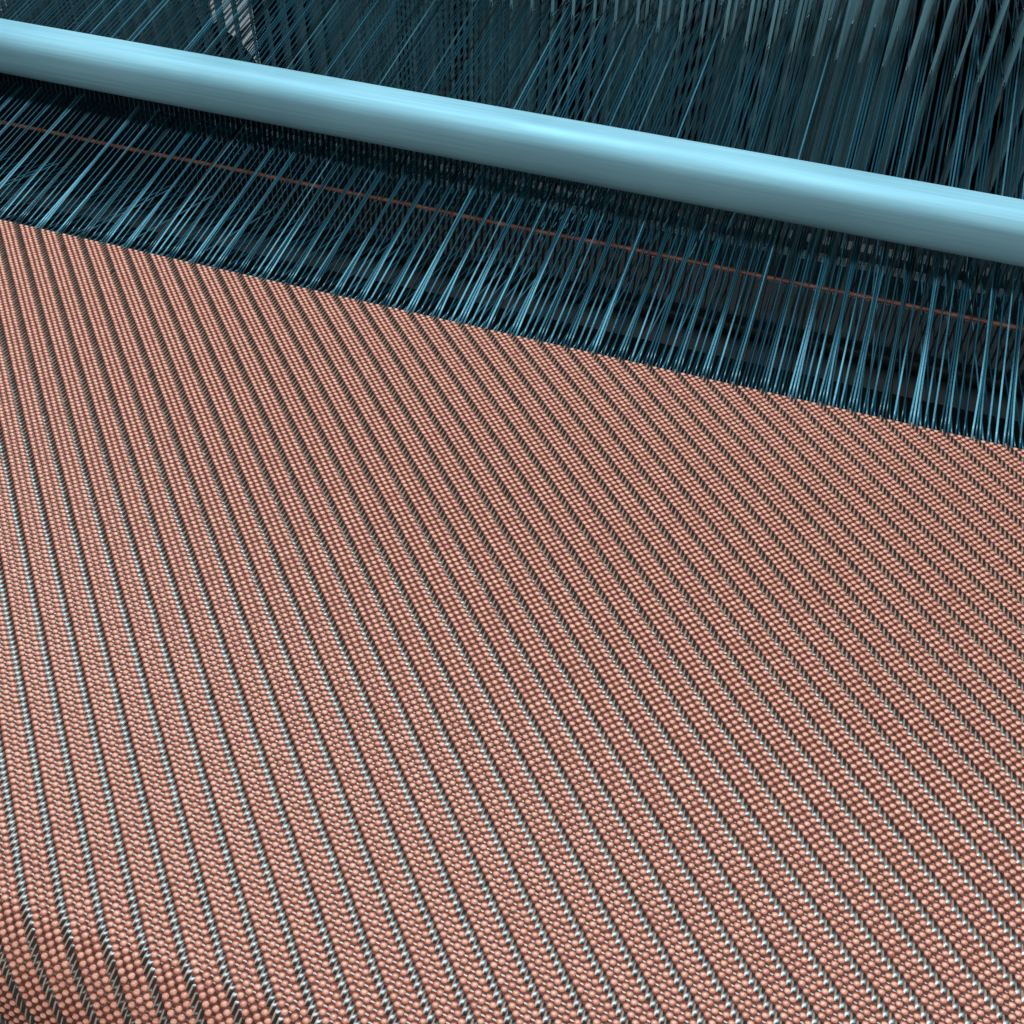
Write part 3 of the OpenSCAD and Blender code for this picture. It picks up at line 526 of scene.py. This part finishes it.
def clothPath(s):
    # from the fell: flat, a quarter turn over the bar, straight down, and a quarter turn under the take-up
    # roller. It gives Y, Z and the direction that faces out of the cloth
    s = np.asarray(s, float)
    endFlat = flatRun
    endBar = endFlat + barTurn * np.pi / 2
    endDrop = endBar + dropRun
    onBar = np.pi / 2 + np.clip((s - endFlat) / barTurn, 0, np.pi / 2)
    onTake = np.pi + np.clip((s - endDrop) / takeTurn, 0, np.pi / 2)
    y = np.where(s < endFlat, fellY - s, barCentre[0] + barTurn * np.cos(onBar))
    z = np.where(s < endFlat, clothMid, barCentre[1] + barTurn * np.sin(onBar))
    angle = np.where(s < endFlat, np.pi / 2, onBar)
    z = np.where(s > endBar, barCentre[1] - (s - endBar), z)
    y = np.where(s > endDrop, takeAxis[0] + takeTurn * np.cos(onTake), y)
    z = np.where(s > endDrop, takeAxis[1] + takeTurn * np.sin(onTake), z)
    angle = np.where(s > endDrop, onTake, angle)
    return y, z, np.cos(angle), np.sin(angle)


def clothPoints(x, s, lift):
    # a point over the cloth: x across, s along it from the fell, lift above its middle
    y, z, ny, nz = clothPath(s)
    return np.stack([x, y + lift * ny, z + lift * nz], -1)


sheet = {
    "rows": (40, 16, 10, 24),
    "columns": (16, 110, 14),
    "photoFrom": -0.2,
    "photoTo": 0.3,
    "sunk": 0.00005,
    "thickness": 0.0004,
    "margin": 14,
}


def steps(places, counts):
    # counts[n] even steps from each place to the next, with the last place itself at the end
    parts = [np.linspace(a, b, n, endpoint=False) for a, b, n in zip(places[:-2], places[1:-1], counts)]
    return np.concatenate(parts + [np.linspace(places[-2], places[-1], counts[-1])])


def baseSheet():
    # a grid over the cloth, finer across where the photo looks. There it carries threads, so it takes the
    # painted shade between them, a dark red-brown, and elsewhere the twill's pattern
    onBar = flatRun + barTurn * np.pi / 2
    along = steps((0, flatRun, onBar, clothLength - takeTurn * np.pi / 2, clothLength), sheet["rows"])
    across = steps((-half, sheet["photoFrom"], sheet["photoTo"], half), sheet["columns"])
    s, x = np.meshgrid(along, across, indexing="ij")
    points = clothPoints(x, s, -sheet["sunk"]).reshape(-1, 3)
    uv = np.column_stack([x.ravel() + half, s.ravel()])
    faces = gridFaces(len(along), len(across), flip=True)
    made = meshPiece("clothSheet", points, faces, materials["twill"], uv=uv)
    made.data.materials.append(materials["betweenThreads"])
    centres = np.zeros(len(made.data.polygons) * 3, np.float32)
    made.data.polygons.foreach_get("center", centres)
    covered = inPhoto(centres.reshape(-1, 3), sheet["margin"])
    made.data.polygons.foreach_set("material_index", covered.astype(np.int32))
    thick = made.modifiers.new("thickness", "SOLIDIFY")
    thick.thickness = sheet["thickness"]
    thick.offset = 0
    return made


def threadDomes(name, i, s, halfAcross, halfAlong, height, across, along, material, alongX, flatness=2.0,
                arch=2.4, dip=0.45, paintedRimHighlight=0.0, vary=0.12):
    # raised parts of threads, one for each end number i and place s along the cloth. Each is a grid whose
    # height is the product of two profiles: the root of one minus across to the power flatness, and one
    # minus along to the power arch. It is sunk at its rim, so that it dives between its neighbours. Its
    # colour is darkened towards the sunk rim as painted shade, and a painted highlight of the given
    # strength lies along its left rim
    u, v = (a.ravel() for a in np.meshgrid(across, along, indexing="ij"))
    longProfile = 1 - np.abs(v) ** arch
    wideProfile = np.sqrt(1 - np.abs(u) ** flatness * 0.96)
    sunk = dip * (1 - longProfile) + 0.12 * (1 - wideProfile)
    lift = height * ((1 + dip) * longProfile * wideProfile - sunk)
    jitter = rng.normal(0, 1, (len(i), 3))
    x = (i[:, None] + 0.5 + 0.03 * jitter[:, :1]) * endPitch - half
    place = s[:, None] + 0.03 * jitter[:, 1:2] * pickPitch
    if alongX:
        x, place = x + v * halfAlong, place + u * halfAcross
    else:
        x, place = x + u * halfAcross, place + v * halfAlong
    raised = lift * (1 + 0.05 * jitter[:, 2:3])
    points = clothPoints(x, place, raised).reshape(-1, 3)
    faces = copies(gridFaces(len(across), len(along), flip=alongX), len(i), len(u))
    # painted shade, darker towards the rims, and a painted highlight along the left rim
    paintedShadeAndHighlight = 0.2 + 0.8 * (longProfile * wideProfile) ** 0.8 + paintedRimHighlight * (u < -0.7)
    shade = np.clip(0.75 + vary * rng.normal(size=len(i)), 0.3, 1.2)[:, None] * paintedShadeAndHighlight[None]
    uv = np.tile(np.column_stack([u, v]) * 0.5 + 0.5, (len(i), 1))
    return meshPiece(name, points, faces, material, value=shade.ravel(), uv=uv)


domes = {
    "visibleRun": flatRun + barTurn * 1.3,
    "margin": 26,
    "weftHalfLength": 0.80,
    "weftHalfWidth": 0.57,
    "weftHeight": 0.00044,
    "weftAlong": (-1, -0.55, 0, 0.55, 1),
    "warpHalfWidth": 0.56,
    "floatHeight": 0.00026,
    "floatAcross": (-1, -0.78, 0, 0.78, 1),
    "floatAlong": (-1, -0.8, -0.45, 0, 0.45, 0.8, 1),
    "singleHalfWidth": 0.62,
    "singleHeight": 0.00024,
    "singleHalfLength": 0.72,
    "floatHalfLength": 1.72,
    "three": (-1, 0, 1),
}


def wovenThreads():
    # the same rule as the twill's pattern: a phase for each crossing says which thread is on top there
    picks = int(domes["visibleRun"] / pickPitch)
    i, j = (a.ravel() for a in np.meshgrid(np.arange(weave["ends"]), np.arange(picks), indexing="ij"))
    middle = clothPoints((i + 0.5) * endPitch - half, (j + 0.5) * pickPitch, 0)
    keep = inPhoto(middle, domes["margin"])
    i, j = i[keep], j[keep]
    phase = (i - j + weave["shift"]) % weave["repeat"]
    s = (j + 0.5) * pickPitch
    made = []
    weft = np.isin(phase, weave["weftUpPhases"])
    order = np.argsort(i[weft], kind="stable")
    for n, part in enumerate(np.array_split(order, 3)):
        made.append(threadDomes(f"weftBeads{n + 1}", i[weft][part], s[weft][part],
                                domes["weftHalfWidth"] * pickPitch, domes["weftHalfLength"] * endPitch,
                                domes["weftHeight"], domes["three"], domes["weftAlong"],
                                materials["weftYarn"], True, vary=0.05))
    single = np.isin(phase, weave["singlePhases"])
    made.append(threadDomes("warpSingles", i[single], s[single], domes["singleHalfWidth"] * endPitch,
                            domes["singleHalfLength"] * pickPitch, domes["singleHeight"], domes["three"],
                            domes["three"], materials["sunkWarp"], False, flatness=4.5))
    order = np.flatnonzero(phase == weave["floatPhase"])
    for n, part in enumerate(np.array_split(order, 2)):
        made.append(threadDomes(f"warpFloats{n + 1}", i[part], s[part], domes["warpHalfWidth"] * endPitch,
                                domes["floatHalfLength"] * pickPitch, domes["floatHeight"],
                                domes["floatAcross"], domes["floatAlong"], materials["wovenWarp"], False,
                                flatness=4.5, arch=2.0, dip=0.35, paintedRimHighlight=1.2, vary=0.06))
    return made


clothSheet = baseSheet()
clothThreads = wovenThreads()
for piece in [clothSheet] + clothThreads:
    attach(piece, "root")
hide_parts("cloth_web")
print("stage: cloth,", [len(p.data.polygons) * 2 for p in clothThreads], "triangles of thread")


# Warp ends: from the fell between the dents to the healds' eyes, and on to the stop motion and back rest

warp = {
    "places": (0, 0.035, 0.112, 0.14),
    "widths": (0.00043, 0.00036, 0.00036, 0.00045),
    "backWidth": 0.00057,
    "turnSteps": 24,
    "depth": 0.00026,
    "stray": 0.00002,
    "lift": 0.0001,
    "tuck": 0.0006,
    "sides": 5,
    "backSides": 4,
    "frontRings": 10,
    "backRings": 5,
    "bundle": {4: 1, 6: -1},
    "bundleReach": 0.085,
    "bundleDraw": 0.0007,
    # the painted sheen on the raised shafts' ends peaks and ends this far behind the fell; raised lists
    # the shafts whose ends take it
    "paintedSheenPeak": 0.014,
    "paintedSheenEnd": 0.040,
    "raised": (0, 2, 4, 5, 6),
    "intoStopMotion": 0.020,
    "shortOfBackRest": 0.006,
}
stopFront = stopFrontFace + warp["intoStopMotion"]
backCentre = middleOf("back_rest")
warpEndY = backCentre[0] - warp["shortOfBackRest"]


def endPlaces(k):
    # the places across the warp of one shaft's ends
    return (np.arange(weave["ends"] // shaftCount) * shaftCount + k + 0.5) * endPitch - half


def endTubes(name, x, ys, zs, widths, sides, draw=0.0, paintedSheen=0.0):
    # ends at the places x: an oval section carried along one path in Y and Z, drawn sideways by draw where
    # neighbours cling together, and paler where a painted sheen lies on them
    count = len(x)
    turn = np.linspace(0, 2 * np.pi, sides, endpoint=False)
    midway = np.sin(np.linspace(0, np.pi, len(ys)))[None]
    stray = rng.normal(0, warp["stray"], (count, 1)) * midway
    lift = rng.normal(0, warp["lift"], (count, 1)) * midway
    cling = np.asarray(draw) * (1 + 0.3 * rng.normal(size=(count, 1)))
    px = (x[:, None] + stray + cling)[:, :, None] + widths[None, :, None] * np.cos(turn)
    py = np.broadcast_to(ys[None, :, None], px.shape)
    pz = (zs[None] + lift)[:, :, None] + warp["depth"] * np.sin(turn)
    points = np.stack([px, py, pz], -1).reshape(-1, 3)
    faces = joinFaces(*(copies(group, count, len(ys) * sides)
                        for group in (gridFaces(len(ys), sides, closeColumns=True, flip=True),
                                      closedEnds(len(ys), sides, flip=True))))
    plain = np.clip(0.7 + 0.3 * rng.normal(size=(count, 1)), 0.1, 1.3)
    # each end's own strength of the painted sheen, added to its random tone
    paintedSheenStrength = np.clip(0.75 + 0.5 * rng.normal(size=(count, 1)), 0, 1.4)
    shade = np.repeat(plain + paintedSheenStrength * np.broadcast_to(paintedSheen, len(ys))[None], sides)
    return meshPiece(name, points, faces, materials["warpYarn"], value=shade)


def warpOfShaft(k):
    # the ends of shaft k: straight from the fell to the eyes, and from there to the stop motion's rail
    eyeY, eyeZ = middleOf(f"healds_{k + 1}")
    t = np.linspace(0, 1, warp["frontRings"]) ** 1.6
    ys = fellY - warp["tuck"] + t * (eyeY - fellY + warp["tuck"])
    zs = clothMid + t * (eyeZ - clothMid)
    behind = ys - fellY
    widths = np.interp(behind, warp["places"], warp["widths"])
    reach = np.clip(behind / warp["bundleReach"], 0, 1)
    draw = warp["bundle"].get(k, 0) * warp["bundleDraw"] * np.sin(np.pi * reach)
    # a painted sheen on the raised ends just behind the fell: it rises to a peak and fades out behind it
    paintedSheen = np.clip(np.minimum(0.3 + behind / warp["paintedSheenPeak"],
                               (warp["paintedSheenEnd"] - behind) / (warp["paintedSheenEnd"] - warp["paintedSheenPeak"])), 0, 1)
    front = endTubes(f"warpFront{k + 1}", endPlaces(k), ys, zs, widths, warp["sides"], draw,
                     paintedSheen * (k in warp["raised"]))
    t = np.linspace(0, 1, warp["backRings"])
    ys = eyeY + t * (stopFront - eyeY)
    zs = eyeZ + t * (clothMid - eyeZ)
    ys, zs = np.append(ys, warpEndY), np.append(zs, clothMid)
    widths = np.full(len(ys), warp["backWidth"])
    back = endTubes(f"warpBack{k + 1}", endPlaces(k), ys, zs, widths, warp["backSides"])
    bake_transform(front)
    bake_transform(back)
    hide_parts(f"warp_ends_{k + 1}")


def warpOverBackRest():
    # all the ends as one sheet: a quarter turn over the back rest, then straight down to the beam
    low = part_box("warp_back_sheet")[0]
    turn = np.linspace(np.pi / 2, 0, warp["turnSteps"])
    up = np.column_stack([np.cos(turn), np.sin(turn)])[[0, *range(len(turn)), -1]]
    path = backCentre + (clothMid - backCentre[1]) * up
    path[0, 0], path[-1, 1] = low[1], low[2]
    outline = np.concatenate([(path + warp["depth"] * up)[::-1], path - warp["depth"] * up])
    sections = [np.column_stack([np.full(len(outline), x), outline]) for x in (-half, half)]
    points = np.concatenate(sections)
    faces = joinFaces(gridFaces(2, len(outline), closeColumns=True), closedEnds(2, len(outline)))
    made = meshPiece("warpBackSheet", points, faces, materials["beamYarn"], smooth=False)
    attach(made, "root")
    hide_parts("warp_back_sheet")


for k in range(shaftCount):
    warpOfShaft(k)
warpOverBackRest()
print("stage: warp ends")


# Reed and its cap, drawn upright at beat-up and leant back about the rocking shaft

sley = {
    "leanBack": 7.2,
    "dents": 480,
    "dentThickness": 0.0003,
    "dentDepth": 0.0028,
    "dentInCap": 0.010,
    "dentInSley": 0.012,
    "reedOffset": 0.0005,
    "sleyTop": -0.030,
    "capBottom": 0.022,
    "capHeight": 0.020,
    "capDepth": 0.022,
    "capOverhang": 0.006,
    "capCorner": 0.007,
    "capUnderSlope": 0.37,
    "capUnderFrom": -0.002,
    "capBevel": 0.002,
    "baulkDepth": 0.009,
    "baulkLow": 0.0002,
    "baulkTop": 0.006,
    "baulkCorner": 0.002,
    "baulkBevel": 0.001,
    "reedEnd": 0.012,
}
reedMiddle = fellY + sley["reedOffset"] + sley["dentDepth"] / 2


def leanBack(points):
    # turns the sley's points about the rocking shaft, back from beat-up to rest
    a = -math.radians(sley["leanBack"])
    y, z = points[:, 1] - rockerAxis[0], points[:, 2] - rockerAxis[1]
    return np.column_stack([points[:, 0], rockerAxis[0] + y * math.cos(a) - z * math.sin(a),
                            rockerAxis[1] + y * math.sin(a) + z * math.cos(a)])


def reedDents():
    # flat wires on edge, one in each gap between pairs of ends, from inside the sley to inside the cap
    x = np.linspace(-half, half, sley["dents"] + 1)
    y0 = fellY + sley["reedOffset"]
    z0 = clothMid + sley["sleyTop"] - sley["dentInSley"]
    z1 = clothMid + sley["capBottom"] + sley["dentInCap"]
    points = thinBoxes(x, sley["dentThickness"], y0, y0 + sley["dentDepth"], z0, z1)
    return meshPiece("reedDents", leanBack(points), thinBoxFaces(len(x)), materials["reedDent"],
                     smooth=False)


def roundedBox(y0, y1, z0, z1, corner, steps=7):
    # outline of a rectangle in Y and Z with round corners, counted anticlockwise
    turn = np.linspace(0, np.pi / 2, steps)
    out = []
    for cy, cz, start in ((y1 - corner, z1 - corner, 0), (y0 + corner, z1 - corner, 1),
                          (y0 + corner, z0 + corner, 2), (y1 - corner, z0 + corner, 3)):
        angle = turn + start * np.pi / 2
        out.append(np.column_stack([cy + corner * np.cos(angle), cz + corner * np.sin(angle)]))
    return np.concatenate(out)


def reedCap():
    # a rounded bar along the reed's top. Its underside rises to the back, to clear the raised ends when
    # the sley is furthest back
    low = clothMid + sley["capBottom"]
    outline = roundedBox(reedMiddle - sley["capDepth"] / 2, reedMiddle + sley["capDepth"] / 2,
                         low, low + sley["capHeight"], sley["capCorner"])
    behind = outline[:, 0] - reedMiddle - sley["capUnderFrom"]
    outline[:, 1] = np.maximum(outline[:, 1], low + sley["capUnderSlope"] * behind)
    end = half + sley["reedEnd"] + sley["capOverhang"]
    points, faces = profileAlongX(outline, -end, end, sley["capBevel"])
    return meshPiece("reedCap", leanBack(points), faces, materials["reedCap"])


def reedBaulk():
    # the bar of pitch and twine that binds the dents' feet
    low = clothMid + sley["sleyTop"]
    outline = roundedBox(reedMiddle - sley["baulkDepth"] / 2, reedMiddle + sley["baulkDepth"] / 2,
                         low + sley["baulkLow"], low + sley["baulkTop"], sley["baulkCorner"], 4)
    end = half + sley["reedEnd"]
    points, faces = profileAlongX(outline, -end, end, sley["baulkBevel"])
    return meshPiece("reedBaulk", leanBack(points), faces, materials["reedBaulk"])


reedPieces = [reedDents(), reedCap(), reedBaulk()]
for piece in reedPieces:
    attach(piece, "sley")
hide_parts("reed")


pick = {
    "forward": 0.0006,
    "rings": 700,
    "sides": 8,
    "radius": 0.00090,
    "shade": 0.42,
}


def openPick():
    # one weft thread lying in the shed: a round yarn with a slight wave, made by a sine in Y and one in Z,
    # whose thickness and shade also swing by a sine
    y, z = middleOf("open_pick") - [pick["forward"], 0]
    x = np.linspace(pickLow[0], pickHigh[0], pick["rings"])
    path = np.column_stack([x, y + 0.0002 * np.sin(x * 41), z + 0.00015 * np.sin(x * 67)])
    path[[0, -1], 1:] = [y, z]
    points, faces = tubeAlong(path, pick["radius"] + 0.00006 * np.sin(x * 900), pick["sides"])
    shade = np.repeat(pick["shade"] + 0.08 * np.sin(x * 350), pick["sides"])
    return meshPiece("openPick", points, faces, materials["weftYarn"], value=shade)


pickPiece = openPick()
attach(pickPiece, "sley")
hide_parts("open_pick")
print("stage: reed and open pick")


# Drop wires: one thin strip in each gap between ends, in four rows under the contact rails

dropWire = {
    "rows": 4,
    "firstRow": 0.044,
    "rowPitch": 0.024,
    "depth": 0.0108,
    "thickness": 0.0002,
    "height": 0.1298,
    "below": 0.0546,
}


def dropWires():
    # each wire is a thin box, and each row takes every fourth gap
    z0 = clothMid - dropWire["below"]
    reach = dropWire["depth"] / 2
    parts = []
    for row in range(dropWire["rows"]):
        x = np.arange(1 + row, weave["ends"], dropWire["rows"]) * endPitch - half
        y = stopFrontFace + dropWire["firstRow"] + row * dropWire["rowPitch"]
        z1 = z0 + dropWire["height"]
        parts.append(thinBoxes(x, dropWire["thickness"], y - reach, y + reach, z0, z1))
    points = np.concatenate(parts)
    faces = thinBoxFaces(len(points) // 8)
    made = meshPiece("dropWires", points, faces, materials["healdSteel"], smooth=False)
    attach(made, "root")


dropWires()
print("stage: drop wires")


# Healds: flat steel strips with a bulge and an eye where the end goes through

heald = {
    "wire": 0.00070,
    "bulge": 0.00072,
    "bulgeHeight": 0.0052,
    "eyeWidth": 0.00047,
    "eyeHeight": 0.0026,
    "thickness": 0.0005,
    "swing": 0.00012,
}


def healdStrips(k):
    # one heald is two thin walls: its outer edge and, at the eye, the rim of the hole. Each side of the
    # strip is a row of points up the heald, given as half widths at heights above the eye
    eyeY, eyeZ = middleOf(f"healds_{k + 1}")
    low, high = (c[2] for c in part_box(f"healds_{k + 1}"))
    h = np.array([low - eyeZ, -heald["bulgeHeight"], -heald["eyeHeight"], -heald["eyeHeight"] * 0.5, 0,
                  heald["eyeHeight"] * 0.5, heald["eyeHeight"], heald["bulgeHeight"], high - eyeZ])
    wire, bulge, hole = heald["wire"], heald["bulge"], heald["eyeWidth"]
    outer = np.array([wire, wire, bulge * 0.92, bulge, bulge, bulge, bulge * 0.92, wire, wire])
    inner = np.array([0, 0, 0, hole * 0.85, hole, hole * 0.85, 0, 0, 0])
    t = heald["thickness"] / 2
    sides = []
    for side in (-1, 1):
        corners = [np.column_stack([side * width, np.full(len(h), depth), h])
                   for width, depth in ((outer, -t), (inner, -t), (inner, t), (outer, t))]
        sides.append(np.stack(corners, 1).reshape(-1, 3))
    one = np.concatenate(sides)
    left = np.concatenate([gridFaces(len(h), 4, closeColumns=True), closedEnds(len(h), 4)])
    faces = np.concatenate([left, left[:, ::-1] + len(h) * 4])
    x = endPlaces(k)
    swing = rng.normal(0, heald["swing"], len(x))
    centres = np.column_stack([x, np.full(len(x), eyeY) + swing, np.full(len(x), eyeZ)])
    points = (one[None] + centres[:, None]).reshape(-1, 3)
    made = meshPiece(f"healdStrips{k + 1}", points, copies(faces, len(x), len(one)),
                     materials["healdSteel"], smooth=False)
    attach(made, f"shaft_{k + 1}")
    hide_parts(f"healds_{k + 1}")


for k in range(shaftCount):
    healdStrips(k)
print("stage: healds")


# Finishes of the CAD parts that show as they are

finishes = {
    "castPaint": ["left_side_frame", "right_side_frame"],
    "steelPaint": ["cross_beams", "motor_pulley", "drive_pulley"],
    "housingPaint": ["shedding_case", "sley_gearboxes", "weft_feeder", "main_motor", "let_off_case",
                     "take_up_case"],
    "sleyPaint": ["sley_beam"],
    "brightSteel": ["breast_bar", "temples", "jet_nozzle", "let_off_pinion", "back_rest", "stop_motion",
                    "take_up_pinion"],
    "anodised": ["shaft_guides", "feeder_disc", "warp_beam",
                 *(f"heald_frame_{k + 1}" for k in range(shaftCount))],
    "rubberGrip": ["take_up_roller", "press_roller"],
    "beltRubber": ["drive_belt"],
    "brass": ["temple_rollers"],
    "boxPaint": ["control_box"],
    "greenButton": ["start_button"],
    "redButton": ["stop_button"],
    "beamYarn": ["beam_yarn"],
    "coneYarn": ["weft_cone"],
    "rolledTwill": ["cloth_roll"],
}
for finish, names in finishes.items():
    for name in names:
        slots = nodeObjects[name].data.materials
        slots.clear()
        slots.append(materials[finish])
print("stage: finishes")


# Floor, lamps and world

stage = {
    "floorColour": "D2D3D1",
    "floorSize": 14.0,
    "worldColour": "E2EAEE",
    "worldStrength": 0.32,
    "keyPlace": (-0.15, -0.05, 2.5),
    "keySize": (1.3, 0.26),
    "keyPower": 40.0,
    "keyColour": "EAF6FF",
    "frontPlace": (0.25, -1.75, 2.2),
    "frontSize": (1.0, 0.12),
    "frontPower": 7.0,
    "frontColour": "FFFFFF",
    "frontTilt": 45,
}


def floor():
    s = stage["floorSize"]
    points = [[-s, -s, 0], [s, -s, 0], [s, s, 0], [-s, s, 0]]
    made, tree, shader = newMaterial("paleFloor")
    shader.inputs["Base Color"].default_value = hexColour(stage["floorColour"])
    shader.inputs["Roughness"].default_value = 0.9
    meshPiece("floor", points, [[0, 1, 2, 3]], made, smooth=False)


def areaLamp(name, which, tilt):
    # tilt turns the lamp about X, from straight down towards the back
    data = bpy.data.lights.new(name, "AREA")
    data.shape = "RECTANGLE"
    data.size, data.size_y = stage[which + "Size"]
    data.energy = stage[which + "Power"]
    data.color = hexColour(stage[which + "Colour"])[:3]
    lamp = bpy.data.objects.new(name, data)
    lamp.location = stage[which + "Place"]
    lamp.rotation_euler = (math.radians(tilt), 0, 0)
    bpy.context.scene.collection.objects.link(lamp)


def world():
    made = bpy.data.worlds.new("studio")
    made.use_nodes = True
    back = made.node_tree.nodes["Background"]
    back.inputs["Color"].default_value = hexColour(stage["worldColour"])
    back.inputs["Strength"].default_value = stage["worldStrength"]
    bpy.context.scene.world = made


floor()
world()
areaLamp("overheadLamp", "key", 0)
areaLamp("frontLamp", "front", stage["frontTilt"])
bpy.context.scene.view_settings.view_transform = "Standard"
print("stage: floor, lamps and world")
